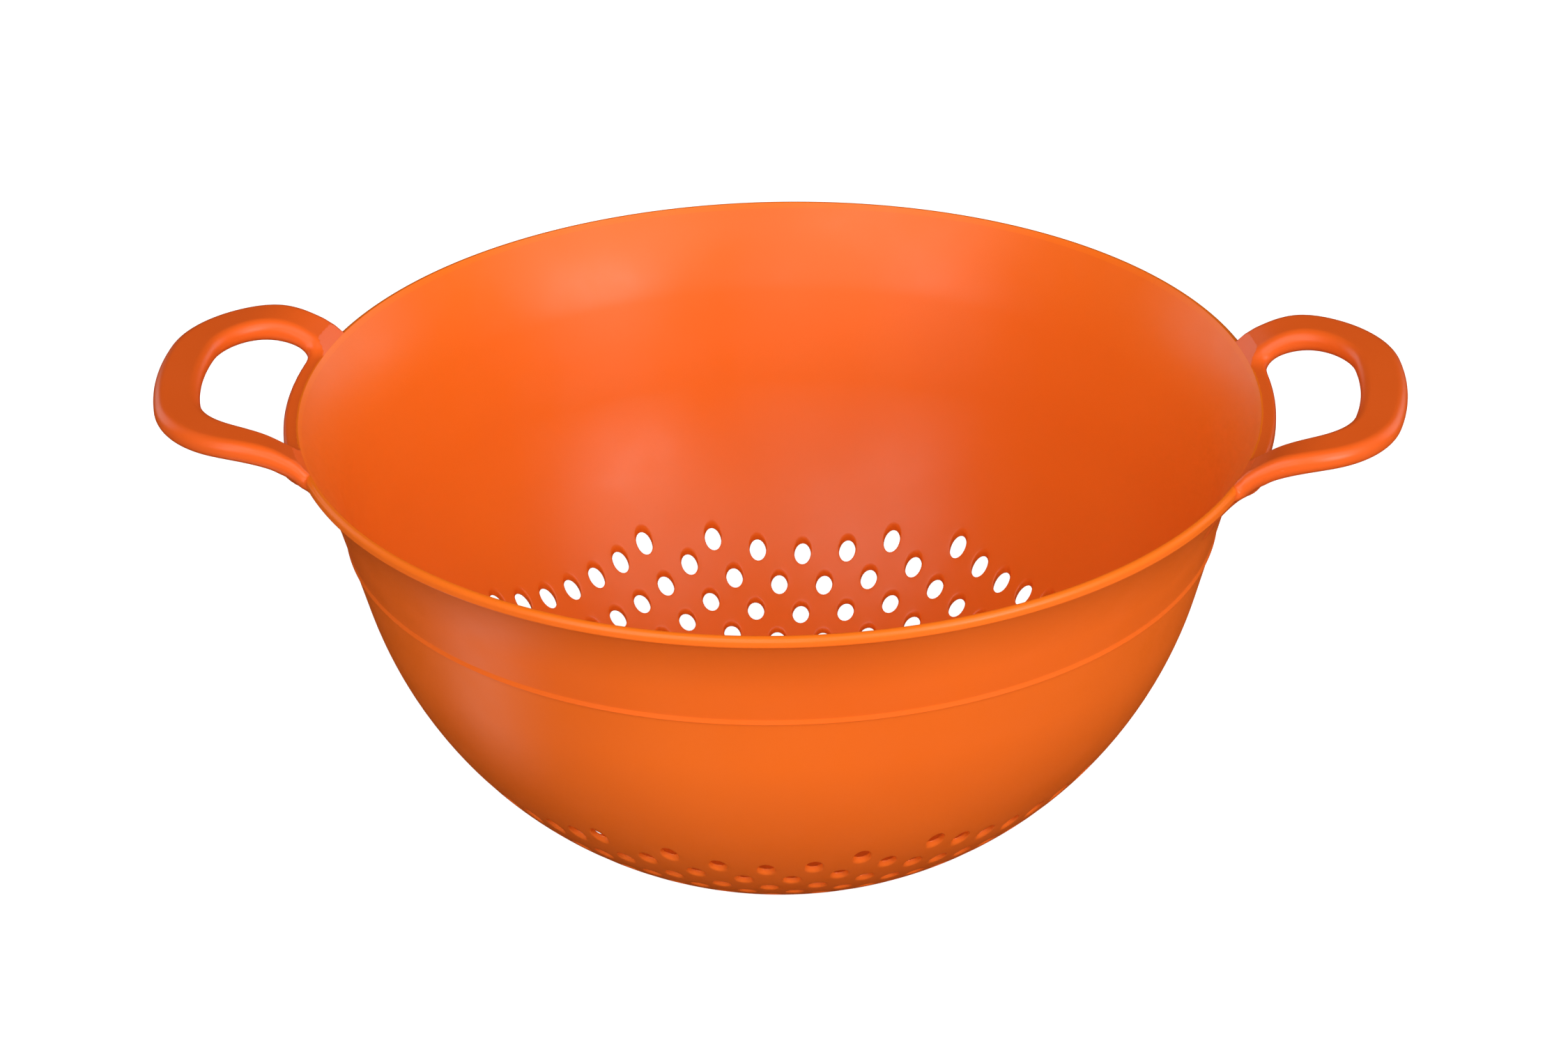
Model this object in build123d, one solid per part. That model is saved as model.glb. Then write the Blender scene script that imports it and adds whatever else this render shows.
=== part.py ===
from build123d import *
import os
from math import cos, hypot, radians, sin, sqrt, tan

# Kitchen colander: a ball-shaped bowl pierced by vertical drain holes, a collar that caps its
# flared top edge, two loop handles that step up from the collar, and a low foot ring.
# Millimetres, +Z up, X through both handles. The origin lies on the resting plane, under the
# middle of the bowl.

# Bowl shell
ball_radius = 102.85
ball_drop = 13.3
wall = 1.9
bowl_wall = 1.25
draft_angle = radians(15.9)
flare_drop = 19.9
flare_radius = 55.0
floor_flat_radius = 30.25

# Drain holes
hole_diameter = 4.1
hole_pitch = 11.1
highest_hole_lean = radians(54.85)
ring_land = 1.7

# Collar
collar_drop = 28.5
collar_wall = 1.0
collar_step = 0.4
shoulder_width = 2.8
cap_thickness = 1.2
lip_overhang = 1.23
lip_round = 1.3
lip_face = 0.8
lip_under_drop = 2.9

# Handles
handle_length = 27.1
bar_width = 11.0
bar_thickness = 5.3
bar_round = 2.5
bar_spacing = 32.9
end_curve_radius = 80.0
corner_radius = 22.0
handle_rise = 5.6
ramp_angle = radians(34.6)
ramp_radius = 22.3
ramp_cross_inset = 4.9
ramp_cross_drop = 0.35
web_width = 1.75
web_height = 2.7
web_drop = 0.15
web_round = 0.8
nose_lift = 0.3
nose_angle = radians(48.0)

# Foot ring
foot_reach = 1.4
foot_inset = 0.65
foot_width = 3.0
groove_depth = 0.5
foot_round = 0.5
notch_count = 4
notch_width = 8.0
notch_height = 0.9

# Fits and cutting
fit_clearance = 0.05
overrun = 5.0


def wall_point(angle, centre, radius):
    """Point of a wall arc whose surface leans outwards by this angle from the vertical."""
    return (centre[0] + radius * cos(angle), centre[1] - radius * sin(angle))


def flare_point(angle, radius):
    """Point of a flare arc, which bends the other way from the ball."""
    return (flare_centre[0] - radius * cos(angle), flare_centre[1] + radius * sin(angle))


def flare_at_height(height, radius):
    """Point of the flare arc of this radius at this height."""
    rise = height - flare_centre[1]
    return (flare_centre[0] - sqrt(radius**2 - rise**2), height)


def cone_at_height(height, inset):
    """Point of the drafted wall at this height, set in from its outer face along its normal."""
    outer = wall_point(draft_angle, ball_centre, ball_radius)
    along = (height - outer[1]) * tan(draft_angle)
    return (outer[0] + along - inset / cos(draft_angle), height)


def arc(start, middle, end):
    """Arc of a radial section through three of its points."""
    return ThreePointArc(start, middle, end)


def flare_arc(radius, start, end):
    """Flare arc of one surface between two of its points."""
    start_angle = (start[1] - flare_centre[1]) / radius
    end_angle = (end[1] - flare_centre[1]) / radius
    middle_height = flare_centre[1] + radius * (start_angle + end_angle) / 2
    return arc(start, flare_at_height(middle_height, radius), end)


def spin(edges):
    """Solid of revolution about the Z axis of a section drawn in radius and height."""
    return revolve(Plane.XZ * make_face(edges), Axis.Z)


# Places that several pieces share
inner_ball = ball_radius - bowl_wall
inner_flare = flare_radius + wall
floor_bottom = foot_reach
floor_top = foot_reach + bowl_wall
ball_centre = (0, floor_bottom + sqrt(ball_radius**2 - floor_flat_radius**2))
rim_height = ball_centre[1] + ball_drop
flare_height = rim_height - flare_drop
flare_foot = cone_at_height(flare_height, 0)
flare_centre = (
    flare_foot[0] + flare_radius * cos(draft_angle),
    flare_foot[1] - flare_radius * sin(draft_angle),
)
seat_height = rim_height - cap_thickness
ledge_height = rim_height - collar_drop
lip_radius = flare_at_height(rim_height - lip_under_drop, flare_radius)[0] + lip_overhang
inner_floor_radius = sqrt(inner_ball**2 - (ball_centre[1] - floor_top) ** 2)
foot_radius = floor_flat_radius - foot_inset
foot_inner_radius = foot_radius - foot_width
pattern_radius = inner_ball * sin(highest_hole_lean)
handle_reach = lip_radius + handle_length
ramp_cross_radius = lip_radius - ramp_cross_inset


def ball_arc(radius, edge_radius, edge_height):
    """Ball part of a wall surface, from the floor's edge up to where the drafted wall starts."""
    edge_angle = (draft_angle + radians(90)) / 2
    return arc(
        (edge_radius, edge_height),
        wall_point(edge_angle, ball_centre, radius),
        wall_point(draft_angle, ball_centre, radius),
    )


def shell_section():
    """Closed section of the bowl, with the rebate that the collar fills."""
    inset = collar_wall + fit_clearance
    rebate = flare_radius + inset
    outer_top = wall_point(draft_angle, ball_centre, ball_radius)
    inner_top = wall_point(draft_angle, ball_centre, inner_ball)
    ledge = cone_at_height(ledge_height, 0)
    rebate_foot = cone_at_height(ledge_height, inset)
    rebate_bend = flare_point(draft_angle, rebate)
    rebate_top = flare_at_height(seat_height, rebate)
    inside_top = flare_at_height(seat_height, inner_flare)
    inside_bend = flare_point(draft_angle, inner_flare)
    return [
        Line((0, floor_bottom), (floor_flat_radius, floor_bottom)),
        ball_arc(ball_radius, floor_flat_radius, floor_bottom),
        Line(outer_top, ledge),
        Line(ledge, rebate_foot),
        Line(rebate_foot, rebate_bend),
        flare_arc(rebate, rebate_bend, rebate_top),
        Line(rebate_top, inside_top),
        flare_arc(inner_flare, inside_top, inside_bend),
        Line(inside_bend, inner_top),
        ball_arc(inner_ball, inner_floor_radius, floor_top),
        Line((inner_floor_radius, floor_top), (0, floor_top)),
        Line((0, floor_top), (0, floor_bottom)),
    ]


def hole_places():
    """Centres of the drain holes: every second crossing of a square grid, inside one circle."""
    step = hole_pitch / 2
    reach = int(pattern_radius / step)
    clear = foot_width / 2 + hole_diameter / 2 + ring_land
    middle = foot_radius - foot_width / 2
    places = []
    for column in range(-reach, reach + 1):
        for row in range(-reach, reach + 1):
            distance = hypot(column * step, row * step)
            on_ring = abs(distance - middle) < clear
            if (column + row) % 2 == 0 and distance <= pattern_radius and not on_ring:
                places.append((column * step, row * step))
    return places


def core_pins():
    """Vertical core pins that reach from under the bowl to above its highest hole."""
    top = ball_centre[1] - sqrt(inner_ball**2 - (pattern_radius + hole_diameter) ** 2)
    pin = Cylinder(hole_diameter / 2, top + overrun, align=(Align.CENTER, Align.CENTER, Align.MIN))
    return [Pos(x, y, 0) * pin for x, y in hole_places()]


def make_bowl():
    """Pierced bowl with a groove for the foot ring."""
    shell = spin(shell_section())
    groove = ring_band(
        foot_inner_radius - fit_clearance,
        foot_radius + fit_clearance,
        floor_bottom - overrun,
        floor_bottom + groove_depth,
    )
    return shell - groove - core_pins()


def ring_band(inner, outer, bottom, top):
    """Plain ring between two radii and two heights."""
    tall = (Align.CENTER, Align.CENTER, Align.MIN)
    body = Cylinder(outer, top - bottom, align=tall) - Cylinder(inner, top - bottom, align=tall)
    return Pos(0, 0, bottom) * body


def make_collar():
    """Collar that rests on the bowl's ledge and caps its flared edge."""
    shoulder_height = ledge_height + shoulder_width
    interface = flare_radius + collar_wall
    step_point = cone_at_height(ledge_height, -collar_step)
    shoulder = cone_at_height(shoulder_height, 0)
    under_height = rim_height - lip_under_drop
    under = flare_at_height(under_height, flare_radius)
    face_bottom = (lip_radius, rim_height - lip_round - lip_face)
    face_top = (lip_radius, rim_height - lip_round)
    round_centre = (lip_radius - lip_round, rim_height - lip_round)
    round_middle = wall_point(-radians(45), round_centre, lip_round)
    top_edge = (round_centre[0], rim_height)
    inner_edge = flare_at_height(rim_height, inner_flare)
    seat_inner = flare_at_height(seat_height, inner_flare)
    seat_outer = flare_at_height(seat_height, interface)
    bend = flare_point(draft_angle, interface)
    foot = cone_at_height(ledge_height, collar_wall)
    flare_bottom = flare_point(draft_angle, flare_radius)
    section = [
        Line(foot, step_point),
        Line(step_point, shoulder),
        Line(shoulder, flare_bottom),
        flare_arc(flare_radius, flare_bottom, under),
        Line(under, face_bottom),
        Line(face_bottom, face_top),
        arc(face_top, round_middle, top_edge),
        Line(top_edge, inner_edge),
        flare_arc(inner_flare, inner_edge, seat_inner),
        Line(seat_inner, seat_outer),
        flare_arc(interface, seat_outer, bend),
        Line(bend, foot),
    ]
    return spin(section)


def ramp_slab():
    """Slab that follows a handle's height: up a ramp, round an arc and level to the end."""
    half = bar_thickness / 2
    level = rim_height + handle_rise
    crest_rise = ramp_radius * (1 - cos(ramp_angle))
    crest_run = ramp_radius * sin(ramp_angle)
    cross_height = rim_height - ramp_cross_drop
    crest_start_rise = level - crest_rise - cross_height
    crest_end = ramp_cross_radius + crest_start_rise / tan(ramp_angle) + crest_run
    crest_centre = (crest_end, level - ramp_radius)
    ramp_length = 2 * overrun + crest_start_rise / sin(ramp_angle)
    far = handle_reach + bar_width

    def crest(radius, angle):
        """Point of the crest arc at this slope."""
        return (crest_centre[0] - radius * sin(angle), crest_centre[1] + radius * cos(angle))

    def ramp_foot(radius):
        """Lower end of the straight ramp on one face of the slab."""
        start = crest(radius, ramp_angle)
        return (start[0] - ramp_length * cos(ramp_angle), start[1] - ramp_length * sin(ramp_angle))

    upper = ramp_radius + half
    lower = ramp_radius - half
    edges = [
        Line(ramp_foot(upper), crest(upper, ramp_angle)),
        arc(crest(upper, ramp_angle), crest(upper, ramp_angle / 2), crest(upper, 0)),
        Line(crest(upper, 0), (far, level + half)),
        Line((far, level + half), (far, level - half)),
        Line((far, level - half), crest(lower, 0)),
        arc(crest(lower, 0), crest(lower, ramp_angle / 2), crest(lower, ramp_angle)),
        Line(crest(lower, ramp_angle), ramp_foot(lower)),
        Line(ramp_foot(lower), ramp_foot(upper)),
    ]
    span = 2 * (bar_spacing + bar_width)
    return extrude(Plane.XZ * make_face(edges), span / 2, both=True)


def loop_outline(offset):
    """Plan of one edge of the loop, set out from the bar's centre line and open to the bowl."""
    half = bar_spacing + offset
    corner = corner_radius + offset
    bow = end_curve_radius + offset
    bow_centre = handle_reach - end_curve_radius
    apart = end_curve_radius - corner_radius
    side = bar_spacing - corner_radius
    corner_x = bow_centre + sqrt(apart**2 - side**2)
    corner_centre = (corner_x, side)
    tangent = ((corner_x - bow_centre) / apart, side / apart)
    joint = (bow_centre + bow * tangent[0], bow * tangent[1])
    mean = hypot(tangent[0], tangent[1] + 1)
    corner_middle = (
        corner_centre[0] + corner * tangent[0] / mean,
        corner_centre[1] + corner * (tangent[1] + 1) / mean,
    )
    start = ramp_cross_radius - 2 * overrun
    return [
        Line((start, -half), (corner_x, -half)),
        arc(
            (corner_x, -half),
            (corner_middle[0], -corner_middle[1]),
            (joint[0], -joint[1]),
        ),
        arc((joint[0], -joint[1]), (bow_centre + bow, 0), joint),
        arc(joint, corner_middle, (corner_x, half)),
        Line((corner_x, half), (start, half)),
        Line((start, half), (start, -half)),
    ]


def seat_cutter():
    """What a handle keeps clear of: the collar's outside, and the air over the rim's inner edge."""
    gap = fit_clearance
    nose_foot = (flare_at_height(rim_height, inner_flare)[0], rim_height + nose_lift)
    nose_top_height = rim_height + handle_rise + bar_thickness
    nose_run = (nose_top_height - nose_foot[1]) / tan(nose_angle)
    round_centre = (lip_radius - lip_round, rim_height - lip_round)
    reach = lip_round + gap
    under_height = rim_height - lip_under_drop
    under = flare_at_height(under_height - gap, flare_radius - gap)
    low_height = rim_height - flare_drop
    low = flare_at_height(low_height, flare_radius - gap)
    face_bottom = (lip_radius + gap, rim_height - lip_round - lip_face - gap)
    edges = [
        Line((0, low_height), low),
        flare_arc(flare_radius - gap, low, under),
        Line(under, face_bottom),
        Line(face_bottom, (lip_radius + gap, round_centre[1])),
        arc(
            (lip_radius + gap, round_centre[1]),
            wall_point(-radians(45), round_centre, reach),
            (round_centre[0], rim_height + gap),
        ),
        Line((round_centre[0], rim_height + gap), (nose_foot[0], rim_height + gap)),
        Line((nose_foot[0], rim_height + gap), nose_foot),
        Line(nose_foot, (nose_foot[0] + nose_run, nose_top_height)),
        Line((nose_foot[0] + nose_run, nose_top_height), (0, nose_top_height)),
        Line((0, nose_top_height), (0, low_height)),
    ]
    return spin(edges)


def make_handle():
    """Right handle: a rounded bar loop and the thin web that lies along the rim."""
    outer = make_face(loop_outline(bar_width / 2))
    inner = make_face(loop_outline(-bar_width / 2))
    tall = 2 * rim_height
    bar = extrude(outer - inner, tall) & ramp_slab()
    crest_edges = bar.edges().filter_by(lambda edge: not is_end_edge(edge, bar))
    bar = fillet(crest_edges, bar_round)
    web_top = rim_height - web_drop
    web = ring_band(lip_radius - lip_round, lip_radius + web_width, web_top - web_height, web_top)
    rounds = web.edges().filter_by(GeomType.CIRCLE)
    web = fillet(rounds.filter_by(lambda edge: edge.radius > lip_radius), web_round)
    sector = Pos(lip_radius, 0, rim_height) * Box(lip_radius, 2 * bar_spacing, rim_height)
    return bar + (web & sector) - seat_cutter()


def is_end_edge(edge, bar):
    """Whether an edge bounds one of the loop's two open ends or stands upright."""
    low = bar.bounding_box().min.X
    box = edge.bounding_box()
    upright = box.size.X < fit_clearance and box.size.Y < fit_clearance
    at_end = box.min.X < low + 2 * overrun * cos(ramp_angle) and box.size.Y > fit_clearance
    return upright or at_end


def make_foot_ring():
    """Foot ring with drain notches, pressed into the groove under the floor."""
    ring = ring_band(foot_inner_radius, foot_radius, 0, floor_bottom + groove_depth)
    ring = fillet(ring.edges().filter_by(lambda edge: edge.center().Z < foot_round), foot_round)
    notch = Box(2 * foot_radius + overrun, notch_width, 2 * notch_height)
    for turn in range(notch_count // 2):
        ring -= Rot(0, 0, turn * 180 / (notch_count // 2) + 180 / notch_count) * notch
    return ring


def main():
    """Build each piece and write it under its own name."""
    os.makedirs("parts", exist_ok=True)
    handle = make_handle()
    pieces = {
        "bowl": make_bowl(),
        "rim_collar": make_collar(),
        "right_handle": handle,
        "left_handle": Rot(0, 0, 180) * handle,
        "foot_ring": make_foot_ring(),
    }
    for name, piece in pieces.items():
        export_step(piece, f"parts/{name}.step")
    print("drain holes:", len(hole_places()))
    print("rim height:", round(rim_height, 2), "rim diameter:", round(2 * lip_radius, 2))


main()
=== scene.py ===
"""Looks of a moulded colander: a pierced bowl, a flared collar, two loop handles and a foot ring."""

import logging
from dataclasses import dataclass
from enum import Enum
from itertools import product
from math import asin, atan2, ceil, cos, hypot, pi, radians, sin, sqrt, tan
from typing import Callable

import bmesh
import bpy
import numpy as np
from mathutils import Matrix, Vector
from mathutils.geometry import delaunay_2d_cdt

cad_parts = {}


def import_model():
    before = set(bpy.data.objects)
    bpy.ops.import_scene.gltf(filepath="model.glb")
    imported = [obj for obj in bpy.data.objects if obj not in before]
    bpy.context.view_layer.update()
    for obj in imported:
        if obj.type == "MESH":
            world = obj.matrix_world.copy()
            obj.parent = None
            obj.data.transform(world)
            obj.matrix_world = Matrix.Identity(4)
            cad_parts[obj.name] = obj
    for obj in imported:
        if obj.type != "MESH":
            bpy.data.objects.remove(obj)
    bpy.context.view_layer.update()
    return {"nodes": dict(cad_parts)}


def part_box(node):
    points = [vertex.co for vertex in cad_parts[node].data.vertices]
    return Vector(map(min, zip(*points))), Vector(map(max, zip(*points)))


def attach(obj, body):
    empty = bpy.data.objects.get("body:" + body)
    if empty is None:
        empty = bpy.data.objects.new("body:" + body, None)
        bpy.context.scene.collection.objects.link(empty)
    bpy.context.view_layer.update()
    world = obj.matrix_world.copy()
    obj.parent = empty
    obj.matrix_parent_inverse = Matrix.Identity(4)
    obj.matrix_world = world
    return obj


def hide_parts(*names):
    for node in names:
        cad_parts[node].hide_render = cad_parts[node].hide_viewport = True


LOG = logging.getLogger("colander")
ROOT = "root"
FULL_TURN = 2 * pi
TURN_STEPS = 360
ARC_STEP = radians(6)
FLARE_STEP = radians(2)
BALL_STEP = radians(1)
SLOPE_REACH = 0.00004
SKIN_PULLS = 5
MERGE_DISTANCE = 2e-6
SHARP_ANGLE = radians(32)

Field = Callable[[np.ndarray], np.ndarray]
Colour = tuple[float, float, float]
Point2 = tuple[float, float]


@dataclass(frozen=True)
class ColanderForm:
    """Sizes in metres that several pieces share. Heights are drops below the rim's top."""

    rim_height: float
    lip_radius: float
    ball_radius: float = 0.10285
    ball_drop: float = 0.0133
    wall: float = 0.0019
    bowl_wall: float = 0.00125
    draft: float = radians(15.9)
    flare_drop: float = 0.0199
    flare_radius: float = 0.055
    collar_drop: float = 0.0285
    collar_wall: float = 0.0010
    cap: float = 0.0012
    clearance: float = 0.00005

    @classmethod
    def from_frame(cls) -> "ColanderForm":
        """Read the rim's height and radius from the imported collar.

        Returns:
            The form with the frame's own rim.
        """
        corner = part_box("rim_collar")[1]
        return cls(rim_height=corner.z, lip_radius=corner.x)

    @property
    def ball_height(self) -> float:
        """Height of the ball's centre."""
        return self.rim_height - self.ball_drop

    def cone(self, drop: float, inset: float) -> Point2:
        """Point of the drafted wall.

        Args:
            drop: depth below the rim's top.
            inset: distance in from the outer face, along its normal.

        Returns:
            Radius and height.
        """
        tangent_radius = self.ball_radius * cos(self.draft)
        tangent_height = self.ball_height - self.ball_radius * sin(self.draft)
        height = self.rim_height - drop
        along = (height - tangent_height) * tan(self.draft)
        return tangent_radius + along - inset / cos(self.draft), height

    @property
    def flare_centre(self) -> Point2:
        """Centre of the flare arcs, outside the bowl."""
        foot = self.cone(self.flare_drop, 0)
        return (
            foot[0] + self.flare_radius * cos(self.draft),
            foot[1] - self.flare_radius * sin(self.draft),
        )

    def flare(self, drop: float, inset: float) -> Point2:
        """Point of the flare arc.

        Args:
            drop: depth below the rim's top.
            inset: distance in from the outer face, along its normal.

        Returns:
            Radius and height.
        """
        radius = self.flare_radius + inset
        height = self.rim_height - drop
        rise = height - self.flare_centre[1]
        return self.flare_centre[0] - sqrt(radius**2 - rise**2), height

    def flare_line(self, inset: float, low_drop: float, high_drop: float) -> list[Point2]:
        """Flare arc from low to high.

        Args:
            inset: distance in from the outer face, along its normal.
            low_drop: depth of its lower end.
            high_drop: depth of its upper end.

        Returns:
            Points spaced about evenly along it.
        """
        radius = self.flare_radius + inset
        centre_drop = self.rim_height - self.flare_centre[1]
        low = asin((centre_drop - low_drop) / radius)
        high = asin((centre_drop - high_drop) / radius)
        count = 2 + ceil((high - low) / FLARE_STEP)
        angles = np.linspace(low, high, count)
        return [self.flare(centre_drop - radius * sin(a), inset) for a in angles]

    def bend_drop(self, inset: float) -> float:
        """Depth at which the drafted wall turns into the flare."""
        radius = self.flare_radius + inset
        return self.rim_height - self.flare_centre[1] - radius * sin(self.draft)

    def ball_line(self, radius: float, start: float) -> list[Point2]:
        """Ball arc of one face, upwards to where the drafted wall starts.

        Args:
            radius: radius of this face of the ball.
            start: plan radius at which the arc starts.

        Returns:
            Points spaced about evenly along it.
        """
        first = asin(start / radius)
        last = pi / 2 - self.draft
        angles = np.linspace(first, last, 2 + ceil((last - first) / BALL_STEP))
        return [(radius * sin(a), self.ball_height - radius * cos(a)) for a in angles]


@dataclass(frozen=True)
class Corner:
    """Corner of a radial section, with the radius that rounds it."""

    radius: float
    height: float
    rounding: float = 0.0


def rounded(corners: list[Corner]) -> list[Point2]:
    """Round the inner corners of an open line.

    Args:
        corners: the line's corners. Its two ends stay as they are.

    Returns:
        Points of the rounded line.
    """
    line = [(corners[0].radius, corners[0].height)]
    for before, corner, after in zip(corners, corners[1:], corners[2:]):
        here = np.array((corner.radius, corner.height))
        back = np.array((before.radius, before.height)) - here
        ahead = np.array((after.radius, after.height)) - here
        back /= np.linalg.norm(back)
        ahead /= np.linalg.norm(ahead)
        turn = np.arccos(np.clip(back @ ahead, -1, 1))
        if corner.rounding == 0 or turn > pi - ARC_STEP / 2:
            line.append(tuple(here))
            continue
        middle = (back + ahead) / np.linalg.norm(back + ahead)
        centre = here + middle * corner.rounding / sin(turn / 2)
        start = here + back * corner.rounding / tan(turn / 2) - centre
        end = here + ahead * corner.rounding / tan(turn / 2) - centre
        sweep = atan2(start[0] * end[1] - start[1] * end[0], start @ end)
        for share in np.linspace(0, 1, 2 + ceil(abs(sweep) / ARC_STEP)):
            c, s = cos(sweep * share), sin(sweep * share)
            spoke = (c * start[0] - s * start[1], s * start[0] + c * start[1])
            line.append((centre[0] + spoke[0], centre[1] + spoke[1]))
    line.append((corners[-1].radius, corners[-1].height))
    return line


class MeshDraft:
    """Points and faces gathered for one mesh."""

    def __init__(self) -> None:
        """Start empty."""
        self.points: list[np.ndarray] = []
        self.faces: list[list[int]] = []
        self.count = 0

    def add(self, points: np.ndarray, faces: np.ndarray) -> None:
        """Add a patch.

        Args:
            points: its points, one row each.
            faces: its faces, as rows of indices into those points.
        """
        self.points.append(points)
        self.faces.extend((faces + self.count).tolist())
        self.count += len(points)

    def spin(self, section: list[Point2], closed: bool) -> None:
        """Add a turned surface.

        Args:
            section: radius and height of its points.
            closed: whether the last point joins the first.
        """
        line = np.array(section)
        angles = np.arange(TURN_STEPS) * FULL_TURN / TURN_STEPS
        radius = line[:, :1]
        points = np.stack(
            (
                radius * np.cos(angles),
                radius * np.sin(angles),
                np.repeat(line[:, 1:], TURN_STEPS, axis=1),
            ),
            axis=-1,
        )
        rows = np.arange(len(line) if closed else len(line) - 1)
        row, turn = np.meshgrid(rows, np.arange(TURN_STEPS), indexing="ij")
        above = (row + 1) % len(line)
        beside = (turn + 1) % TURN_STEPS
        corners = (
            row * TURN_STEPS + turn,
            row * TURN_STEPS + beside,
            above * TURN_STEPS + beside,
            above * TURN_STEPS + turn,
        )
        self.add(points.reshape(-1, 3), np.stack(corners, -1).reshape(-1, 4))

    def build(self, name: str) -> bpy.types.Object:
        """Make a closed, smooth object of the patches.

        Args:
            name: the object's name.

        Returns:
            The new object.
        """
        mesh = bpy.data.meshes.new(name)
        mesh.from_pydata(np.concatenate(self.points).tolist(), [], self.faces)
        sheet = bmesh.new()
        sheet.from_mesh(mesh)
        bmesh.ops.remove_doubles(sheet, verts=sheet.verts, dist=MERGE_DISTANCE)
        bmesh.ops.recalc_face_normals(sheet, faces=sheet.faces)
        open_edges = sum(1 for edge in sheet.edges if not edge.is_manifold)
        sheet.to_mesh(mesh)
        sheet.free()
        mesh.shade_smooth()
        mesh.set_sharp_from_angle(angle=SHARP_ANGLE)
        LOG.info("%s: %d faces, %d open edges", name, len(mesh.polygons), open_edges)
        return link(name, mesh)


def link(name: str, mesh: bpy.types.Mesh) -> bpy.types.Object:
    """Put a mesh into the scene as an object of this name."""
    thing = bpy.data.objects.new(name, mesh)
    bpy.context.scene.collection.objects.link(thing)
    return thing


def smoothstep(value: np.ndarray, low: float, high: float) -> np.ndarray:
    """Ease from 0 at low to 1 at high."""
    share = np.clip((value - low) / (high - low), 0, 1)
    return share * share * (3 - 2 * share)


def blend_union(first: np.ndarray, second: np.ndarray, reach: np.ndarray | float) -> np.ndarray:
    """Join two distance fields with a rounded inner corner.

    Args:
        first: distances to one solid.
        second: distances to the other.
        reach: how far the rounding reaches.

    Returns:
        Distances to both together.
    """
    near = np.maximum(1 - np.abs(first - second) / reach, 0)
    return np.minimum(first, second) - reach * near**3 / 6


def round_box(across: np.ndarray, up: np.ndarray, width: float, height: np.ndarray | float,
              rounding: np.ndarray | float) -> np.ndarray:
    """Distance to a rounded rectangle about the origin.

    Args:
        across: offsets across it.
        up: offsets along its height.
        width: half its width.
        height: half its height.
        rounding: radius of its corners.

    Returns:
        Distances, negative inside.
    """
    out = np.abs(across) - width + rounding
    rise = np.abs(up) - height + rounding
    corner = np.hypot(np.maximum(out, 0), np.maximum(rise, 0))
    return corner + np.minimum(np.maximum(out, rise), 0) - rounding


class SectionField:
    """Distance to a closed radial section, kept on a fine grid for speed."""

    cell = 0.0001

    def __init__(self, section: list[Point2], low: Point2, high: Point2) -> None:
        """Measure the section.

        Args:
            section: its points, in radius and height.
            low: lowest radius and height that will be asked for.
            high: highest radius and height.
        """
        self.low = np.array(low)
        counts = np.ceil((np.array(high) - self.low) / self.cell).astype(int) + 2
        radius, height = np.meshgrid(*(np.arange(n) * self.cell for n in counts), indexing="ij")
        spots = np.stack((radius, height), -1) + self.low
        start = np.array(section)
        end = np.roll(start, -1, axis=0)
        best = np.full(spots.shape[:2], np.inf)
        inside = np.zeros(spots.shape[:2], bool)
        for a, b in zip(start, end):
            run = b - a
            along = np.clip(((spots - a) @ run) / max(run @ run, 1e-18), 0, 1)
            gap = spots - a - along[..., None] * run
            best = np.minimum(best, np.hypot(gap[..., 0], gap[..., 1]))
            crosses = (a[1] > spots[..., 1]) != (b[1] > spots[..., 1])
            with np.errstate(divide="ignore", invalid="ignore"):
                meet = a[0] + (spots[..., 1] - a[1]) * run[0] / run[1]
            inside ^= crosses & (spots[..., 0] < meet)
        self.values = np.where(inside, -best, best)

    def distance(self, radius: np.ndarray, height: np.ndarray) -> np.ndarray:
        """Read the distance between the grid's points.

        Args:
            radius: plan radii.
            height: heights.

        Returns:
            Distances, negative inside the section.
        """
        top = np.array(self.values.shape) - 1.001
        column = np.clip((radius - self.low[0]) / self.cell, 0, top[0])
        row = np.clip((height - self.low[1]) / self.cell, 0, top[1])
        i, j = column.astype(int), row.astype(int)
        u, v = column - i, row - j
        lower = self.values[i, j] * (1 - u) + self.values[i + 1, j] * u
        upper = self.values[i, j + 1] * (1 - u) + self.values[i + 1, j + 1] * u
        return lower * (1 - v) + upper * v


def slope_of(field: Field, points: np.ndarray) -> np.ndarray:
    """Gradient of a distance field.

    Args:
        field: the field.
        points: where to measure it.

    Returns:
        One vector for each point.
    """
    parts = []
    for axis in range(3):
        shift = np.zeros(3)
        shift[axis] = SLOPE_REACH
        parts.append((field(points + shift) - field(points - shift)) / (2 * SLOPE_REACH))
    return np.stack(parts, -1)


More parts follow.
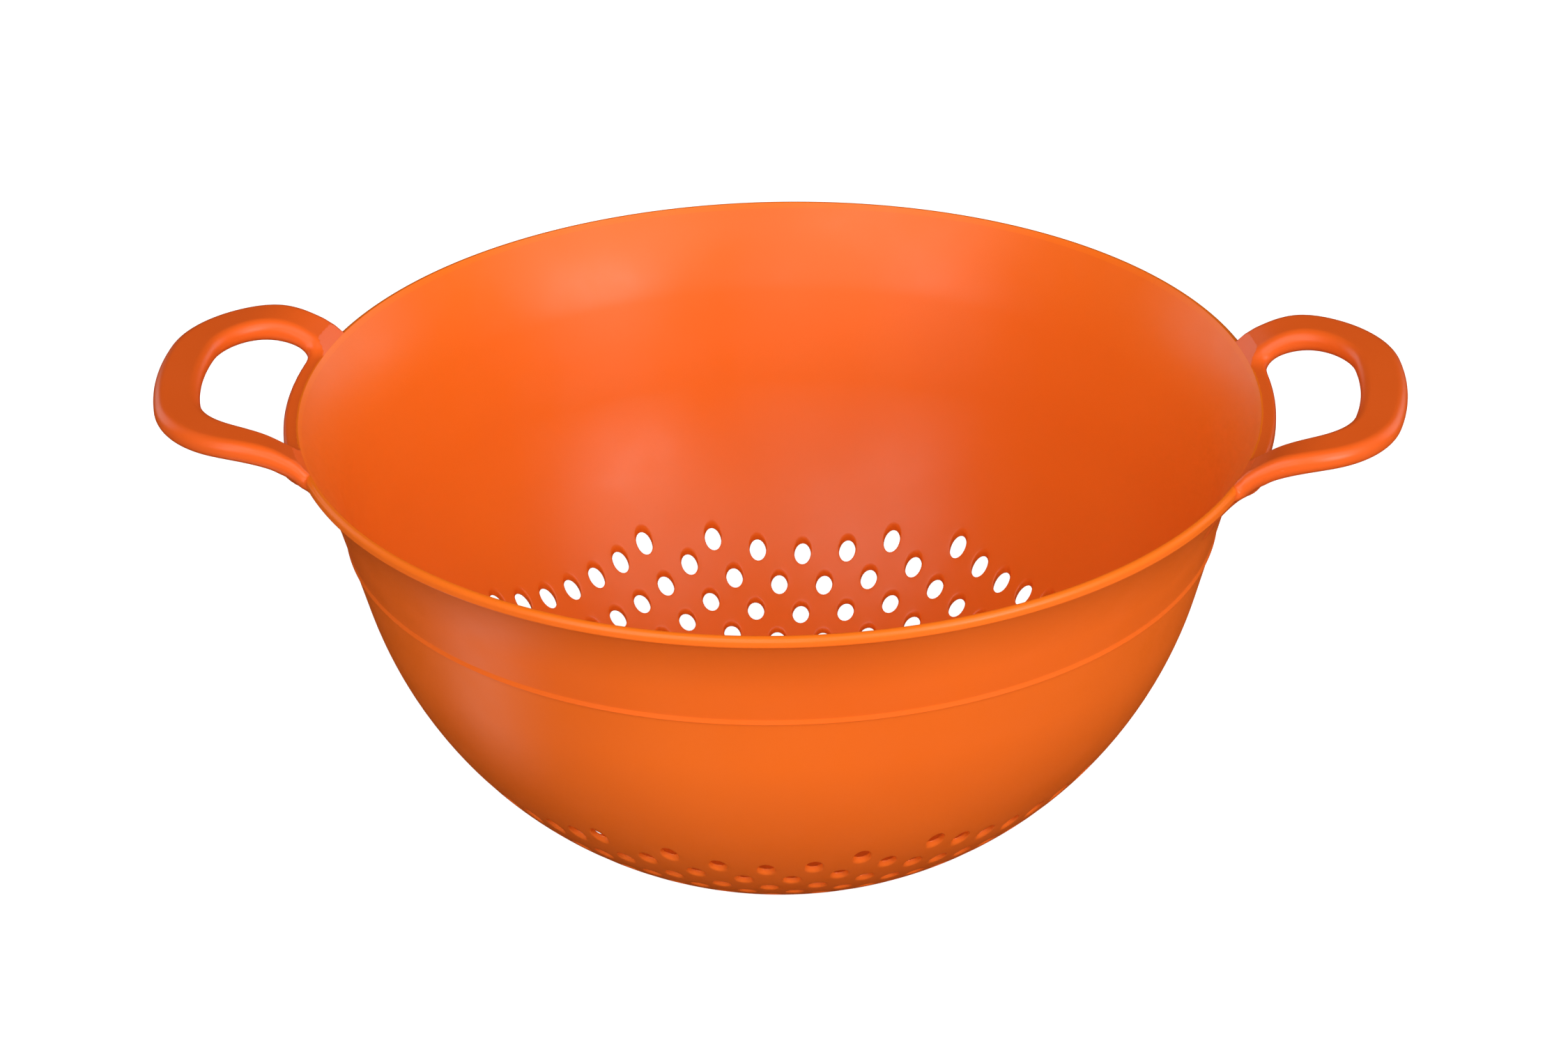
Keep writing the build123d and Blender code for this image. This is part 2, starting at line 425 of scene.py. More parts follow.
def skin(field: Field, low: np.ndarray, high: np.ndarray, step: float) -> tuple[np.ndarray, np.ndarray]:
    """Net of four-sided faces over the surface where a field is zero.

    Args:
        field: the field, negative inside.
        low: lowest corner of the space to search.
        high: highest corner.
        step: size of the cells.

    Returns:
        Points on the surface, and faces that turn outwards.
    """
    axes = [np.arange(low[a], high[a] + step, step) for a in range(3)]
    values = field(np.stack(np.meshgrid(*axes, indexing="ij"), -1))
    shape = tuple(n - 1 for n in values.shape)
    total = np.zeros(shape + (3,))
    count = np.zeros(shape)
    for axis in range(3):
        sides = [a for a in range(3) if a != axis]
        for corner in product((0, 1), repeat=2):
            start = [0, 0, 0]
            start[sides[0]], start[sides[1]] = corner
            end = list(start)
            end[axis] = 1
            a = values[tuple(slice(s, s + n) for s, n in zip(start, shape))]
            b = values[tuple(slice(s, s + n) for s, n in zip(end, shape))]
            crossing = (a < 0) != (b < 0)
            place = np.repeat(np.array([start], float), crossing.sum(), axis=0)
            place[:, axis] += a[crossing] / (a[crossing] - b[crossing])
            total[crossing] += place
            count[crossing] += 1
    active = count > 0
    index = np.full(shape, -1)
    index[active] = np.arange(active.sum())
    points = low + step * (np.argwhere(active) + total[active] / count[active][:, None])
    faces = []
    for axis in range(3):
        u, v = np.eye(3, dtype=int)[[(axis + 1) % 3, (axis + 2) % 3]]
        first = [slice(1, -1)] * 3
        second = [slice(1, -1)] * 3
        second[axis] = slice(2, None)
        a, b = values[tuple(first)], values[tuple(second)]
        node = np.argwhere((a < 0) != (b < 0))
        outward = a[tuple(node.T)] < 0
        node = node + 1
        ring = [index[tuple((node - d).T)] for d in (u + v, v, 0 * u, u)]
        quads = np.stack(ring, -1)
        quads[~outward] = quads[~outward][:, ::-1]
        faces.append(quads)
    for _ in range(SKIN_PULLS):
        slope = slope_of(field, points)
        move = (field(points) / (slope**2).sum(-1))[:, None] * slope
        points = points - np.clip(move, -step / 2, step / 2)
    return points, np.concatenate(faces)


@dataclass(frozen=True)
class SatinPlastic:
    """Moulded satin plastic with a faint grain, soft drifts of colour and, where asked, a painted highlight
    over its top few millimetres.
    """

    name: str
    colour: Colour
    drift_colour: Colour
    # Painted highlight: a lighter, yellower colour that fades in over a band of heights up to the top,
    # standing in for light on a rounded lip.
    lip_highlight_colour: Colour | None = None
    lip_highlight_top: float = 0.0
    lip_highlight_depth: float = 0.0
    sheen_low: float = 0.31
    sheen_high: float = 0.38
    sheen_level: float = 0.32
    sheen_scale: float = 126.0
    sheen_range: Point2 = (0.3, 0.7)
    refraction: float = 1.49
    drift_scale: float = 14.0
    drift_range: Point2 = (0.35, 0.7)
    speckle_scale: float = 900.0
    speckle_range: Point2 = (0.5, 0.8)
    speckle_share: float = 0.16
    grain_scale: float = 2400.0
    grain_depth: float = 0.000012
    grain_strength: float = 0.5

    def noise(self, tree: bpy.types.NodeTree, scale: float, detail: float) -> bpy.types.Node:
        """Add a noise texture in the object's own space.

        Args:
            tree: the material's nodes.
            scale: features for each metre.
            detail: how many finer layers it has.

        Returns:
            The noise node.
        """
        place = tree.nodes.new("ShaderNodeTexCoord")
        noise = tree.nodes.new("ShaderNodeTexNoise")
        noise.inputs["Scale"].default_value = scale
        noise.inputs["Detail"].default_value = detail
        tree.links.new(place.outputs["Object"], noise.inputs["Vector"])
        return noise

    def remap(self, tree: bpy.types.NodeTree, source: bpy.types.NodeSocket,
              before: Point2, after: Point2) -> bpy.types.NodeSocket:
        """Map one range of numbers to another.

        Args:
            tree: the material's nodes.
            source: the numbers.
            before: the range that they have.
            after: the range that they get.

        Returns:
            The mapped numbers.
        """
        node = tree.nodes.new("ShaderNodeMapRange")
        for name, value in zip(("From Min", "From Max", "To Min", "To Max"), before + after):
            node.inputs[name].default_value = value
        tree.links.new(source, node.inputs["Value"])
        return node.outputs["Result"]

    def mix(self, tree: bpy.types.NodeTree, share: bpy.types.NodeSocket,
            first: bpy.types.NodeSocket | Colour, second: Colour) -> bpy.types.NodeSocket:
        """Mix two colours.

        Args:
            tree: the material's nodes.
            share: how much of the second colour shows.
            first: a colour, or the output that gives it.
            second: the other colour.

        Returns:
            The mixed colour.
        """
        node = tree.nodes.new("ShaderNodeMix")
        node.data_type = "RGBA"
        tree.links.new(share, node.inputs["Factor"])
        if isinstance(first, tuple):
            node.inputs["A"].default_value = (*first, 1)
        else:
            tree.links.new(first, node.inputs["A"])
        node.inputs["B"].default_value = (*second, 1)
        return node.outputs["Result"]

    def build(self) -> bpy.types.Material:
        """Make the material.

        Returns:
            The material, ready for a mesh.
        """
        material = bpy.data.materials.new(self.name)
        material.use_nodes = True
        tree = material.node_tree
        shader = tree.nodes["Principled BSDF"]
        shader.inputs["IOR"].default_value = self.refraction
        shader.inputs["Specular IOR Level"].default_value = self.sheen_level
        clouds = self.noise(tree, self.drift_scale, 2)
        drift = self.remap(tree, clouds.outputs["Fac"], self.drift_range, (0, 1))
        colour = self.mix(tree, drift, self.colour, self.drift_colour)
        # Painted highlight: towards the top the colour turns lighter and yellower, standing in for light on
        # the lip.
        if self.lip_highlight_colour:
            place = tree.nodes.new("ShaderNodeTexCoord")
            parts = tree.nodes.new("ShaderNodeSeparateXYZ")
            tree.links.new(place.outputs["Object"], parts.inputs["Vector"])
            span = (self.lip_highlight_top - self.lip_highlight_depth, self.lip_highlight_top)
            edge = self.remap(tree, parts.outputs["Z"], span, (0, 1))
            colour = self.mix(tree, edge, colour, self.lip_highlight_colour)
        dots = self.noise(tree, self.speckle_scale, 3)
        speckle = self.remap(tree, dots.outputs["Fac"], self.speckle_range, (0, self.speckle_share))
        colour = self.mix(tree, speckle, colour, self.drift_colour)
        tree.links.new(colour, shader.inputs["Base Color"])
        sheen = self.noise(tree, self.sheen_scale, 3)
        roughness = (self.sheen_low, self.sheen_high)
        rough = self.remap(tree, sheen.outputs["Fac"], self.sheen_range, roughness)
        tree.links.new(rough, shader.inputs["Roughness"])
        bump = tree.nodes.new("ShaderNodeBump")
        bump.inputs["Strength"].default_value = self.grain_strength
        bump.inputs["Distance"].default_value = self.grain_depth
        tree.links.new(self.noise(tree, self.grain_scale, 2).outputs["Fac"], bump.inputs["Height"])
        tree.links.new(bump.outputs["Normal"], shader.inputs["Normal"])
        return material


@dataclass
class PiercedBowl:
    """Bowl with vertical drain holes, each sunk on the inside and eased on the outside."""

    form: ColanderForm
    finish: SatinPlastic
    floor_bottom: float = 0.0014
    floor_blend: float = 0.0008
    hole_radius: float = 0.00205
    hole_pitch: float = 0.0111
    pattern_radius: float = 0.083
    dish_radius: float = 0.0025
    dish_depth: float = 0.00045
    outer_round: float = 0.00040
    ring_radius: float = 0.0281
    ring_clear: float = 0.00525
    patch_radius: float = 0.0930
    around: int = 24
    round_steps: int = 7
    annulus_step: float = 0.0016
    annulus_clear_share: float = 0.7

    @property
    def cell(self) -> float:
        """Half diagonal of the square that belongs to one hole."""
        return self.hole_pitch / 2

    def sites(self) -> tuple[np.ndarray, np.ndarray]:
        """Centres of the pattern's squares.

        Returns:
            The centres, and whether each has a hole.
        """
        reach = int(self.pattern_radius / self.cell)
        steps = np.arange(-reach, reach + 1)
        column, row = (grid.ravel() for grid in np.meshgrid(steps, steps, indexing="ij"))
        keep = ((column + row) % 2 == 0) & (np.hypot(column, row) * self.cell <= self.pattern_radius)
        centres = np.stack((column, row), -1)[keep] * self.cell
        distance = np.hypot(centres[:, 0], centres[:, 1])
        return centres, np.abs(distance - self.ring_radius) >= self.ring_clear

    def height(self, plan: np.ndarray, radius: float, floor: float) -> np.ndarray:
        """Height of one face of the bowl.

        Args:
            plan: points in plan.
            radius: radius of this face of the ball.
            floor: height of its flat floor.

        Returns:
            One height for each point.
        """
        distance = np.hypot(plan[..., 0], plan[..., 1])
        ball = self.form.ball_height - np.sqrt(radius**2 - distance**2)
        return -blend_union(-ball, np.full_like(ball, -floor), self.floor_blend)

    def lean(self, plan: np.ndarray) -> np.ndarray:
        """Height that one unit of wall thickness takes, at these points."""
        distance = np.hypot(plan[..., 0], plan[..., 1])
        return 1 / np.sqrt(1 - (distance / self.form.ball_radius) ** 2)

    def square_edge(self) -> np.ndarray:
        """Points round the edge of one hole's square, starting at its +X corner."""
        side = self.around // 4
        turns = np.arange(self.around)
        corners = np.array(((1, 0), (0, 1), (-1, 0), (0, -1))) * self.cell
        share = (turns % side / side)[:, None]
        first = corners[turns // side]
        second = corners[(turns // side + 1) % 4]
        return first * (1 - share) + second * share

    def circle(self, radius: float) -> np.ndarray:
        """Points round a circle about one hole."""
        angles = np.arange(self.around) * FULL_TURN / self.around
        return radius * np.stack((np.cos(angles), np.sin(angles)), -1)

    def holes(self, draft: MeshDraft, centres: np.ndarray) -> None:
        """Add each hole with the squares of wall round it.

        Args:
            draft: the mesh to add to.
            centres: the holes' centres.
        """
        form = self.form
        inner_ball = form.ball_radius - form.bowl_wall
        floor = self.floor_bottom
        quarter = np.linspace(0, pi / 2, self.round_steps)
        rings = []
        for is_inner in (True, False):
            edge_radius = self.dish_radius if is_inner else self.hole_radius + self.outer_round
            depth = self.dish_depth if is_inner else self.outer_round
            ease = edge_radius - self.hole_radius
            steps = [(self.square_edge(), 0.0)]
            middle = (self.square_edge() + self.circle(edge_radius)) / 2
            steps.append((middle, 0.0))
            for angle in quarter:
                ring = self.circle(self.hole_radius + ease * (1 - sin(angle)))
                steps.append((ring, depth * (1 - cos(angle))))
            side = []
            for ring, sink in steps:
                plan = centres[:, None, :] + ring
                top = self.height(plan, inner_ball, floor + form.bowl_wall)
                bottom = self.height(plan, form.ball_radius, floor)
                sink_height = sink * self.lean(plan)
                level = top - sink_height if is_inner else bottom + sink_height
                side.append(np.concatenate((plan, level[..., None]), -1))
            rings.extend(side if is_inner else side[::-1])
        points = np.stack(rings, 1)
        count = points.shape[1]
        ring, turn = np.meshgrid(np.arange(count - 1), np.arange(self.around), indexing="ij")
        beside = (turn + 1) % self.around
        corners = (
            ring * self.around + turn,
            ring * self.around + beside,
            (ring + 1) * self.around + beside,
            (ring + 1) * self.around + turn,
        )
        template = np.stack(corners, -1).reshape(-1, 4)
        starts = np.arange(len(centres)) * count * self.around
        faces = starts[:, None, None] + template
        draft.add(points.reshape(-1, 3), faces.reshape(-1, 4))

    def blanks(self, draft: MeshDraft, centres: np.ndarray) -> None:
        """Add the squares that have no hole, on both faces.

        Args:
            draft: the mesh to add to.
            centres: the squares' centres.
        """
        side = self.around // 4
        a, b = np.meshgrid(np.arange(side + 1), np.arange(side + 1), indexing="ij")
        offsets = np.stack((a - b, a + b - side), -1) * self.cell / side
        a, b = np.meshgrid(np.arange(side), np.arange(side), indexing="ij")
        first = a * (side + 1) + b
        template = np.stack((first, first + side + 1, first + side + 2, first + 1), -1).reshape(-1, 4)
        plan = centres[:, None, None, :] + offsets
        self.both_faces(draft, plan.reshape(-1, 2), np.concatenate(
            [template + k * (side + 1) ** 2 for k in range(len(centres))]
        ))

    def both_faces(self, draft: MeshDraft, plan: np.ndarray, faces: np.ndarray) -> None:
        """Add the same plan patch on the inner and the outer face.

        Args:
            draft: the mesh to add to.
            plan: points in plan.
            faces: rows of indices into them.
        """
        form = self.form
        top = self.height(plan, form.ball_radius - form.bowl_wall, self.floor_bottom + form.bowl_wall)
        bottom = self.height(plan, form.ball_radius, self.floor_bottom)
        draft.add(np.column_stack((plan, top)), faces)
        draft.add(np.column_stack((plan, bottom)), faces[:, ::-1])

    def annulus(self, draft: MeshDraft, centres: np.ndarray) -> None:
        """Add the plain wall between the pattern's stepped edge and a circle.

        Args:
            draft: the mesh to add to.
            centres: centres of the pattern's squares.
        """
        scale = 1 / self.cell
        used = {tuple(np.round(c * scale).astype(int)) for c in centres}
        edge = self.square_edge()
        side = self.around // 4
        plan: list[Point2] = []
        places: dict[tuple[int, int], int] = {}
        pairs: list[tuple[int, int]] = []

        def spot(point: np.ndarray) -> int:
            """Number of a point, the same for the same place."""
            key = tuple(np.round(point * scale * 1000).astype(int))
            if key not in places:
                places[key] = len(plan)
                plan.append((point[0] * scale, point[1] * scale))
            return places[key]

        neighbours = ((1, 1), (-1, 1), (-1, -1), (1, -1))
        for column, row in sorted(used):
            centre = np.array((column, row)) * self.cell
            for number, (right, up) in enumerate(neighbours):
                if (column + right, row + up) in used:
                    continue
                for k in range(number * side, (number + 1) * side):
                    pairs.append((spot(centre + edge[k]), spot(centre + edge[(k + 1) % self.around])))
        angles = np.arange(TURN_STEPS) * FULL_TURN / TURN_STEPS
        first = len(plan)
        plan.extend((self.patch_radius * scale * cos(a), self.patch_radius * scale * sin(a)) for a in angles)
        pairs.extend((first + k, first + (k + 1) % TURN_STEPS) for k in range(TURN_STEPS))
        start = self.pattern_radius - self.cell
        radii = np.arange(start, self.patch_radius - self.annulus_step / 2, self.annulus_step)
        for number, radius in enumerate(radii):
            turned = angles + (number % 2) * pi / TURN_STEPS
            for spot_place in radius * np.stack((np.cos(turned), np.sin(turned)), -1):
                apart = np.abs(spot_place - centres).sum(-1).min()
                if apart > self.cell + self.annulus_step * self.annulus_clear_share:
                    plan.append((spot_place[0] * scale, spot_place[1] * scale))
        result = delaunay_2d_cdt([Vector(p) for p in plan], pairs, [], 1, 1e-6)
        corners = np.array([tuple(p) for p in result[0]])
        triangles = np.array(result[2])
        middles = corners[triangles].mean(axis=1) / scale
        apart = np.abs(middles[:, None, :] - centres[None]).sum(-1).min(axis=1)
        self.both_faces(draft, corners / scale, triangles[apart > self.cell])

    def upper_wall(self) -> list[Point2]:
        """Section of the wall above the pattern, up the inside and down the outside."""
        form = self.form
        inner_ball = form.ball_radius - form.bowl_wall
        inset = form.collar_wall + form.clearance
        ledge = form.cone(form.collar_drop, 0)
        inside = form.ball_line(inner_ball, self.patch_radius)
        inside += form.flare_line(form.wall, form.bend_drop(form.wall), form.cap)
        outside = form.flare_line(inset, form.bend_drop(inset), form.cap)[::-1]
        outside += [form.cone(form.collar_drop, inset), ledge]
        return inside + outside + form.ball_line(form.ball_radius, self.patch_radius)[::-1]

    def build(self) -> bpy.types.Object:
        """Make the bowl and dress it.

        Returns:
            The bowl, in place of its plain solid.
        """
        centres, pierced = self.sites()
        draft = MeshDraft()
        self.holes(draft, centres[pierced])
        self.blanks(draft, centres[~pierced])
        self.annulus(draft, centres)
        draft.spin(self.upper_wall(), closed=False)
        bowl = draft.build("bowl_shell")
        bowl.data.materials.append(self.finish.build())
        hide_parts("bowl")
        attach(bowl, ROOT)
        return bowl


@dataclass
class RimCollar:
    """Flared band that caps the bowl's edge, with a rounded lip and a low shoulder."""

    form: ColanderForm
    finish: SatinPlastic
    step: float = 0.0004
    step_round: float = 0.00022
    shoulder: float = 0.0014
    shoulder_round: float = 0.0009
    waist: float = 0.00012
    waist_drop: float = 0.0052
    waist_round: float = 0.012
    under_drop: float = 0.0033
    under_round: float = 0.0016
    face_drop: float = 0.0025
    face_round: float = 0.0006
    lip_round: float = 0.0013
    crown_drop: float = 0.00012
    bead_round: float = 0.00018
    field_start: float = 0.098
    field_past: float = 0.002
    field_below: float = 0.016
    field_above: float = 0.012

    def outside(self) -> list[Point2]:
        """Outer line, from the ledge on the bowl up and over the lip to its inner edge."""
        form = self.form
        arc = form.flare_line(0, form.flare_drop, self.under_drop)
        foot = form.cone(form.collar_drop, form.collar_wall)
        step = form.cone(form.collar_drop, -self.step)
        shoulder = form.cone(form.collar_drop - self.shoulder, self.waist)
        waist = form.cone(form.collar_drop - self.waist_drop, 0)
        inner = form.flare(0, form.wall)
        corners = [Corner(*foot), Corner(*step, self.step_round), Corner(*shoulder, self.shoulder_round)]
        corners.append(Corner(*waist, self.waist_round))
        corners += [Corner(*point) for point in arc[:-1]]
        corners += [
            Corner(*arc[-1], self.under_round),
            Corner(form.lip_radius, form.rim_height - self.face_drop, self.face_round),
            Corner(form.lip_radius, form.rim_height - self.crown_drop, self.lip_round),
            Corner(*inner, self.bead_round),
            Corner(*form.flare(form.cap, form.wall)),
        ]
        return rounded(corners)

    def section(self) -> list[Point2]:
        """Closed section of the collar."""
        form = self.form
        inset = form.collar_wall
        return self.outside() + form.flare_line(inset, form.bend_drop(inset), form.cap)[::-1]

    def wall_field(self, reach: float) -> SectionField:
        """Measure distances to the collar with the bowl's wall behind it.

        Args:
            reach: largest X of a handle.

        Returns:
            The field that the handles grow from.
        """
        form = self.form
        inside = form.flare_line(form.wall, form.collar_drop - self.shoulder, form.cap)[::-1]
        low = (self.field_start, form.rim_height - self.field_below)
        high = (reach + self.field_past, form.rim_height + self.field_above)
        return SectionField(self.outside() + inside, low, high)

    def build(self) -> bpy.types.Object:
        """Make the collar and dress it.

        Returns:
            The collar, in place of its plain solid.
        """
        draft = MeshDraft()
        draft.spin(self.section(), closed=True)
        collar = draft.build("collar_band")
        collar.data.materials.append(self.finish.build())
        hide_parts("rim_collar")
        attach(collar, ROOT)
        return collar


class Side(Enum):
    """Which end of the colander a handle is on."""

    RIGHT = 0
    LEFT = 180


@dataclass
class LoopHandle:
    """Rounded bar loop that climbs from the rim, with a web along the lip between its roots."""

    form: ColanderForm
    wall: SectionField
    finish: SatinPlastic
    reach: float
    bar_half: float = 0.0055
    bar_round: float = 0.0025
    spacing: float = 0.0329
    end_radius: float = 0.0800
    corner_radius: float = 0.0220
    top_rise: float = 0.00825
    top_power: float = 3.107
    bottom_rise: float = 0.00295
    root_depth: float = 0.0072
    root_power: float = 2.4
    ramp_length: float = 0.0220
    droop: float = 0.0005
    droop_start: float = 0.012
    droop_end: float = 0.034
    web_width: float = 0.00175
    web_height: float = 0.0027
    web_drop: float = 0.00015
    web_round: float = 0.0008
    window_blend: float = 0.0075
    root_blend: float = 0.0050
    edge_blend: float = 0.0004
    ease_share: float = 0.7
    nose_slope: float = 1.8
    round_share: float = 0.96
    hidden_share: float = 0.8
    search_share: float = 2.6
    sink: float = 0.00001
    cell: float = 0.0005

    @property
    def rim_edge(self) -> float:
        """Radius of the rim's inner edge."""
        return self.form.flare(0, self.form.wall)[0]

    def across_bar(self, x: np.ndarray, y: np.ndarray) -> np.ndarray:
        """Distance from the bar's centre line in plan.

        Args:
            x: places along the line through the handles.
            y: places beside it, on the positive side.

        Returns:
            Distances, always positive.
        """
        end_x = self.reach - self.end_radius
        apart = self.end_radius - self.corner_radius
        side = self.spacing - self.corner_radius
        corner_x = end_x + sqrt(apart**2 - side**2)
        straight = np.abs(y - self.spacing)
        corner = np.abs(np.hypot(x - corner_x, y - side) - self.corner_radius)
        bow = np.abs(np.hypot(x - end_x, y) - self.end_radius)
        past = x > corner_x
        below = (x - end_x) * side - y * (corner_x - end_x) > 0
        return np.where(past & below, bow, np.where(past, corner, straight))

    def bar(self, x: np.ndarray, y: np.ndarray, rise: np.ndarray, radius: np.ndarray) -> np.ndarray:
        """Distance to the bar.

        Args:
            x: places along the line through the handles.
            y: places beside it, on the positive side.
            rise: heights above the rim.
            radius: plan radii.

        Returns:
            Distances, negative inside.
        """
        along = radius - self.rim_edge
        left = np.clip(1 - along / self.ramp_length, 0, None)
        top = self.top_rise * (1 - left**self.top_power)
        top = np.where(along < 0, self.nose_slope * along, top)
        bottom = self.bottom_rise - self.root_depth * left**self.root_power
        slope = self.root_depth * self.root_power * left ** (self.root_power - 1) / self.ramp_length
        hang = self.droop * smoothstep(along, self.droop_start, self.droop_end)
        square = 1 / np.sqrt(1 + slope**2)
        half = np.maximum((top - bottom) / 2 * square, self.edge_blend)
        up = (rise + hang - (top + bottom) / 2) * square
        rounding = np.minimum(self.bar_round, half * self.round_share)
        return round_box(self.across_bar(x, y), up, self.bar_half, half, rounding)

    def web(self, y: np.ndarray, rise: np.ndarray, radius: np.ndarray) -> np.ndarray:
        """Distance to the web along the lip.

        Args:
            y: places beside the line through the handles, on the positive side.
            rise: heights above the rim.
            radius: plan radii.

        Returns:
            Distances, negative inside.
        """
        outer = self.form.lip_radius + self.web_width
        half_width = (outer - self.rim_edge) / 2
        up = rise + self.web_drop + self.web_height / 2
        ring = round_box(radius - outer + half_width, up, half_width, self.web_height / 2, self.web_round)
        return np.maximum(ring, y - self.spacing)

    def field(self, points: np.ndarray) -> np.ndarray:
        """Distance to the handle with the collar that it grows from.

        Args:
            points: where to measure.

        Returns:
            Distances, negative inside.
        """
        x, y, z = points[..., 0], np.abs(points[..., 1]), points[..., 2]
        radius = np.hypot(x, y)
        rise = z - self.form.rim_height
        loop = blend_union(
            self.bar(x, y, rise, radius), self.web(y, rise, radius), self.window_blend
        )
        wall = self.wall.distance(radius, z) + self.sink
        from_edge = np.hypot(radius - self.rim_edge, rise)
        ease = smoothstep(from_edge, self.edge_blend, self.root_blend * self.ease_share)
        joined = blend_union(loop, wall, self.edge_blend + (self.root_blend - self.edge_blend) * ease)
        centre = self.form.flare_centre
        hollow = np.hypot(radius - centre[0], z - centre[1]) - self.form.flare_radius - self.form.wall
        return np.maximum(joined, hollow + self.sink)

    def build(self, side: Side) -> bpy.types.Object:
        """Make one handle and dress it.

        Args:
            side: which end it is on.

        Returns:
            The handle, in place of its plain solid.
        """
        name = f"{side.name.lower()}_handle"
        margin = 2 * self.cell
        outer = self.spacing + self.bar_half + self.root_blend
        start = sqrt(self.rim_edge**2 - outer**2) - self.root_blend
        below = self.search_share * self.root_blend
        low = np.array((start, -outer, self.form.rim_height - below))
        top = self.form.rim_height + self.top_rise + margin
        high = np.array((self.reach + self.bar_half + margin, outer, top))
        points, faces = skin(self.field, low, high, self.cell)
        depth = self.wall.distance(np.hypot(points[:, 0], points[:, 1]), points[:, 2])
        shown = depth > -self.sink * self.hidden_share
        faces = faces[shown[faces].any(axis=1)]
        used, faces = np.unique(faces, return_inverse=True)
        points = points[used]
        slope = slope_of(self.field, points)
        turn = np.array(Matrix.Rotation(radians(side.value), 3, "Z"))
        mesh = bpy.data.meshes.new(name + "_loop")
        mesh.from_pydata((points @ turn.T).tolist(), [], faces.reshape(-1, 4).tolist())
        mesh.shade_smooth()
        normals = slope / np.linalg.norm(slope, axis=1)[:, None]
        mesh.normals_split_custom_set_from_vertices((normals @ turn.T).tolist())
        handle = link(name + "_loop", mesh)
        handle.data.materials.append(self.finish.build())
        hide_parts(name)
        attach(handle, ROOT)
        LOG.info("%s: %d faces", name, len(mesh.polygons))
        return handle


@dataclass
class FootRing:
    """Ring with drain notches, which keeps its solid and gets the moulded finish."""

    finish: SatinPlastic

    def build(self, nodes: dict[str, bpy.types.Object]) -> bpy.types.Object:
        """Dress the ring.

        Args:
            nodes: the frame's solids by name.

        Returns:
            The ring.
        """
        ring = nodes["foot_ring"]
        ring.data.materials.clear()
        ring.data.materials.append(self.finish.build())
        return ring


@dataclass(frozen=True)
class SoftBox:
    """Round soft lamp that faces the colander, at a bearing from the front and a height above the floor."""

    name: str
    bearing: float
    elevation: float
    power: float
    width: float = 1.3
    distance: float = 2.5

    def build(self, middle: Vector) -> None:
        """Hang the lamp.

        Args:
            middle: the point that it faces.
        """
        lamp = bpy.data.lights.new(self.name, "AREA")
        lamp.shape = "DISK"
        lamp.size = self.width
        lamp.energy = self.power
        holder = bpy.data.objects.new(self.name, lamp)
        bpy.context.scene.collection.objects.link(holder)
        flat = cos(self.elevation)
        back = Vector((sin(self.bearing) * flat, -cos(self.bearing) * flat, sin(self.elevation)))
        holder.location = middle + back * self.distance
        holder.rotation_euler = (-back).to_track_quat("-Z", "Y").to_euler()


